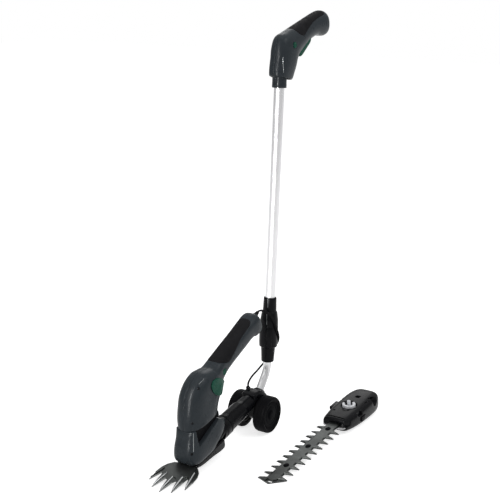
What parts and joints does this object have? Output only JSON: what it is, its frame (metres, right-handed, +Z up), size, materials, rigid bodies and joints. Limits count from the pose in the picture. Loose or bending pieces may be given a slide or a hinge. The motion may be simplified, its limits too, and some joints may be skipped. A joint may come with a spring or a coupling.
{
  "type": "cordless grass and shrub shears",
  "caption": "Cordless grass shears on a wheeled telescopic pole with its own trigger handle, and a spare hedge blade module beside them.",
  "frame": {"origin": "centre of the footprint on the floor, without the lead and its plug", "axes": "+Z up, +X toward the grass blade, +Y toward the tool's left"},
  "size_m": [0.5786, 0.2248, 0.7997],
  "materials": {
    "adapter_sleeve": "fine grained moulded plastic",
    "axle": "bright turned steel",
    "battery_cell_front": "shrink wrap",
    "battery_cell_rear": "shrink wrap",
    "battery_cradle": "fine grained moulded plastic",
    "carriage_bracket": "fine grained moulded plastic",
    "charging_socket": "fine grained moulded plastic",
    "collar_release_button": "fine grained moulded plastic",
    "crank_shaft": "bright turned steel",
    "drive_gear": "bright turned steel",
    "gear_housing": "fine satin moulded plastic",
    "gearbox_core": "fine grained moulded plastic",
    "grass_blade_pivot": "bright turned steel",
    "grass_comb_blade": "ground blade steel",
    "grass_drive_fork": "bright turned steel",
    "grass_module_housing": "fine grained moulded plastic",
    "grass_module_latch": "fine grained moulded plastic",
    "grass_moving_blade": "ground blade steel",
    "handle_lock_button": "smooth moulded plastic",
    "handle_shell_left": "fine satin moulded plastic",
    "handle_shell_right": "fine satin moulded plastic",
    "handle_soft_grip": "matt soft rubber",
    "handle_switch": "fine grained moulded plastic",
    "handle_trigger": "smooth moulded plastic",
    "hedge_button_left": "fine grained moulded plastic",
    "hedge_button_right": "fine grained moulded plastic",
    "hedge_drive_cam": "smooth white plastic",
    "hedge_guard_blade": "ground blade steel",
    "hedge_module_housing": "fine grained moulded plastic",
    "hedge_moving_blade": "ground blade steel",
    "hedge_nose_plate": "bright turned steel",
    "hedge_rivet_1": "bright turned steel",
    "hedge_rivet_2": "bright turned steel",
    "hedge_rivet_3": "bright turned steel",
    "hub_cap_left": "fine grained moulded plastic",
    "hub_cap_right": "fine grained moulded plastic",
    "lead": "matt soft rubber",
    "lead_grommet": "matt soft rubber",
    "lead_plug": "matt soft rubber",
    "lower_tube": "satin drawn tube",
    "motor_can": "bright turned steel",
    "motor_mount": "fine grained moulded plastic",
    "motor_pinion": "bright turned steel",
    "outer_tube": "satin drawn tube",
    "pole_collar": "fine grained moulded plastic",
    "receiver_ring": "fine grained moulded plastic",
    "shear_lock_button": "smooth moulded plastic",
    "shear_shell_left": "fine satin moulded plastic",
    "shear_shell_right": "fine satin moulded plastic",
    "shear_soft_grip": "matt soft rubber",
    "shear_switch": "fine grained moulded plastic",
    "shear_trigger": "smooth moulded plastic",
    "tube_guide_plug": "fine grained moulded plastic",
    "tube_spring_button": "bright turned steel",
    "tyre_left": "matt smooth tyre",
    "tyre_right": "matt smooth tyre",
    "wheel_rim_left": "fine grained moulded plastic",
    "wheel_rim_right": "fine grained moulded plastic"
  },
  "bodies": {
    "shear_unit": {"shear_shell_left": "shear_shell_left", "shear_shell_right": "shear_shell_right", "gear_housing": "gear_housing", "gearbox_core": "gearbox_core", "shear_soft_grip": "shear_soft_grip", "motor_can": "motor_can", "motor_mount": "motor_mount", "shear_switch": "shear_switch", "battery_cell_front": "battery_cell_front", "battery_cell_rear": "battery_cell_rear", "battery_cradle": "battery_cradle", "charging_socket": "charging_socket", "receiver_ring": "receiver_ring", "lead_plug": "lead_plug"},
    "shear_trigger_body": {"shear_trigger": "shear_trigger"},
    "shear_lock_body": {"shear_lock_button": "shear_lock_button"},
    "gear_body": {"drive_gear": "drive_gear", "crank_shaft": "crank_shaft"},
    "pinion_body": {"motor_pinion": "motor_pinion"},
    "grass_module": {"grass_module_housing": "grass_module_housing", "grass_comb_blade": "grass_comb_blade", "grass_blade_pivot": "grass_blade_pivot"},
    "grass_swing_body": {"grass_moving_blade": "grass_moving_blade", "grass_drive_fork": "grass_drive_fork"},
    "grass_latch_body": {"grass_module_latch": "grass_module_latch"},
    "carriage": {"adapter_sleeve": "adapter_sleeve", "carriage_bracket": "carriage_bracket", "axle": "axle", "lead_grommet": "lead_grommet", "lead": "lead", "lower_tube": "lower_tube", "tube_guide_plug": "tube_guide_plug"},
    "wheel_left": {"wheel_rim_left": "wheel_rim_left", "tyre_left": "tyre_left", "hub_cap_left": "hub_cap_left"},
    "wheel_right": {"wheel_rim_right": "wheel_rim_right", "tyre_right": "tyre_right", "hub_cap_right": "hub_cap_right"},
    "tube_button_body": {"tube_spring_button": "tube_spring_button"},
    "upper_pole": {"outer_tube": "outer_tube", "pole_collar": "pole_collar", "handle_shell_left": "handle_shell_left", "handle_shell_right": "handle_shell_right", "handle_soft_grip": "handle_soft_grip", "handle_switch": "handle_switch"},
    "collar_button_body": {"collar_release_button": "collar_release_button"},
    "handle_trigger_body": {"handle_trigger": "handle_trigger"},
    "handle_lock_body": {"handle_lock_button": "handle_lock_button"},
    "hedge_module": {"hedge_module_housing": "hedge_module_housing", "hedge_guard_blade": "hedge_guard_blade", "hedge_nose_plate": "hedge_nose_plate", "hedge_rivet_1": "hedge_rivet_1", "hedge_rivet_2": "hedge_rivet_2", "hedge_rivet_3": "hedge_rivet_3"},
    "hedge_cam_body": {"hedge_drive_cam": "hedge_drive_cam"},
    "hedge_moving_body": {"hedge_moving_blade": "hedge_moving_blade"},
    "hedge_button_left_body": {"hedge_button_left": "hedge_button_left"},
    "hedge_button_right_body": {"hedge_button_right": "hedge_button_right"}
  },
  "joints": [
    {"name": "shear_trigger_press", "type": "slide", "parent": "shear_unit", "child": "shear_trigger_body", "axis": [0.9848, 0, -0.1736], "range_m": [0, 0.0015], "stiffness_N_per_m": 400, "springref_m": -0.002},
    {"name": "shear_lock_press", "type": "slide", "parent": "shear_unit", "child": "shear_lock_body", "axis": [0, -1, 0], "range_m": [0, 0.002], "stiffness_N_per_m": 400, "springref_m": -0.002},
    {"name": "gear_spin", "type": "hinge", "parent": "shear_unit", "child": "gear_body", "pos_m": [0.18038, -0.06978, 0.08118], "axis": [0.1736, 0, 0.9848], "continuous": true},
    {"name": "pinion_spin", "type": "hinge", "parent": "shear_unit", "child": "pinion_body", "pos_m": [0.16561, -0.06978, 0.08379], "axis": [0.1736, 0, 0.9848], "continuous": true},
    {"name": "grass_module_slide", "type": "slide", "parent": "shear_unit", "child": "grass_module", "axis": [0.9848, 0, -0.1736], "range_m": [0, 0.12]},
    {"name": "grass_blade_swing", "type": "hinge", "parent": "grass_module", "child": "grass_swing_body", "pos_m": [0.1995, -0.06978, 0.01689], "axis": [0.1736, 0, 0.9848], "range_deg": [-6.7, 6.7]},
    {"name": "grass_latch_press", "type": "slide", "parent": "grass_module", "child": "grass_latch_body", "axis": [0.1736, 0, 0.9848], "range_m": [0, 0.002], "stiffness_N_per_m": 400, "springref_m": -0.002},
    {"name": "carriage_unplug", "type": "slide", "parent": "shear_unit", "child": "carriage", "axis": [-0.9848, 0, 0.1736], "range_m": [0, 0.06]},
    {"name": "wheel_left_spin", "type": "hinge", "parent": "carriage", "child": "wheel_left", "pos_m": [-0.02678, -0.06978, 0.036], "axis": [0, 1, 0], "continuous": true},
    {"name": "wheel_right_spin", "type": "hinge", "parent": "carriage", "child": "wheel_right", "pos_m": [-0.02678, -0.06978, 0.036], "axis": [0, 1, 0], "continuous": true},
    {"name": "tube_button_press", "type": "slide", "parent": "carriage", "child": "tube_button_body", "axis": [-0.9468, 0, -0.3219], "range_m": [0, 0.0025], "stiffness_N_per_m": 400, "springref_m": -0.002},
    {"name": "pole_extend", "type": "slide", "parent": "carriage", "child": "upper_pole", "axis": [-0.0715, 0, 0.9974], "range_m": [0, 0.3]},
    {"name": "collar_button_press", "type": "slide", "parent": "upper_pole", "child": "collar_button_body", "axis": [-0.8638, -0.5, -0.0619], "range_m": [0, 0.002], "stiffness_N_per_m": 400, "springref_m": -0.002},
    {"name": "handle_trigger_press", "type": "hinge", "parent": "upper_pole", "child": "handle_trigger_body", "pos_m": [-0.21178, -0.06978, 0.747], "axis": [0, -1, 0], "range_deg": [0, 5], "stiffness_Nm_per_rad": 0.4, "springref_deg": -11.46},
    {"name": "handle_lock_press", "type": "slide", "parent": "upper_pole", "child": "handle_lock_body", "axis": [0, -1, 0], "range_m": [0, 0.002], "stiffness_N_per_m": 400, "springref_m": -0.002},
    {"name": "hedge_module_lift", "type": "slide", "parent": "shear_unit", "child": "hedge_module", "axis": [0, 0, 1], "range_m": [0, 0.1]},
    {"name": "hedge_cam_spin", "type": "hinge", "parent": "hedge_module", "child": "hedge_cam_body", "pos_m": [-0.15024, 0.07714, 0.02168], "axis": [0.0663, -0.0005, 0.9978], "continuous": true},
    {"name": "hedge_blade_stroke", "type": "slide", "parent": "hedge_module", "child": "hedge_moving_body", "axis": [0.9978, -0.007, -0.0663], "range_m": [-0.0045, 0.0045]},
    {"name": "hedge_button_left_press", "type": "slide", "parent": "hedge_module", "child": "hedge_button_left_body", "axis": [-0.007, -1, 0], "range_m": [0, 0.002], "stiffness_N_per_m": 400, "springref_m": -0.002},
    {"name": "hedge_button_right_press", "type": "slide", "parent": "hedge_module", "child": "hedge_button_right_body", "axis": [0.007, 1, 0], "range_m": [0, 0.002], "stiffness_N_per_m": 400, "springref_m": -0.002}
  ],
  "couplings": [
    {"joint": "pinion_spin", "follows": "gear_spin", "ratio": -4}
  ]
}
